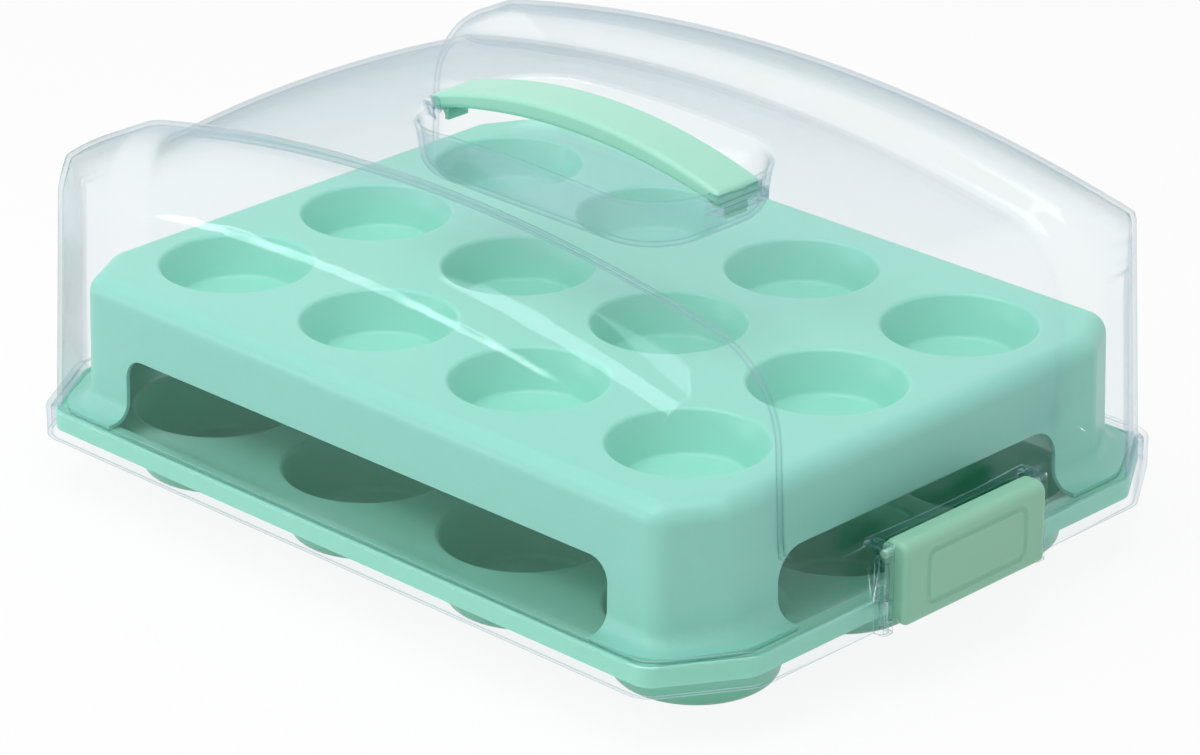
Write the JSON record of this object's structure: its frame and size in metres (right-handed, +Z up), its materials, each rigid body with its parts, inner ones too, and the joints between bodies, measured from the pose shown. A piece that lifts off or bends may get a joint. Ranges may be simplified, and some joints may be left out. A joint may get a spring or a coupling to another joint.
{
  "type": "muffin carrier",
  "caption": "Two-tier muffin carrier: a tray and a lift-out insert with wells, under a clear hood with a top handle and a hinged clip at each end.",
  "frame": {"origin": "under the middle of the tray, on the plane of the well bottoms that it stands on", "axes": "+X along the length towards the right clip, +Y across the width, +Z up"},
  "size_m": [0.4354, 0.3164, 0.1827],
  "materials": {
    "tray_mint": "smooth moulded plastic, mint green, satin gloss",
    "insert_mint": "smooth moulded plastic, mint green, satin gloss",
    "hood_clear": "clear moulded plastic, polished",
    "handle_mint": "smooth moulded plastic, mint green, satin gloss",
    "clip_mint": "smooth moulded plastic, greyish mint green, satin gloss"
  },
  "bodies": {
    "base_tray": {"base_tray": "tray_mint"},
    "muffin_insert": {"muffin_insert": "insert_mint"},
    "hood": {"hood": "hood_clear", "handle": "handle_mint"},
    "clip_left": {"clip_left": "clip_mint"},
    "clip_right": {"clip_right": "clip_mint"}
  },
  "joints": [
    {"name": "insert_lift", "type": "slide", "parent": "base_tray", "child": "muffin_insert", "axis": [0, 0, 1], "range_m": [0, 0.12]},
    {"name": "hood_lift", "type": "slide", "parent": "muffin_insert", "child": "hood", "axis": [0, 0, 1], "range_m": [0, 0.21]},
    {"name": "clip_right_hinge", "type": "hinge", "parent": "hood", "child": "clip_right", "pos_m": [0.2085, 0, 0.0595], "axis": [0, -1, 0], "range_deg": [0, 110]},
    {"name": "clip_left_hinge", "type": "hinge", "parent": "hood", "child": "clip_left", "pos_m": [-0.2085, 0, 0.0595], "axis": [0, 1, 0], "range_deg": [0, 110]}
  ]
}
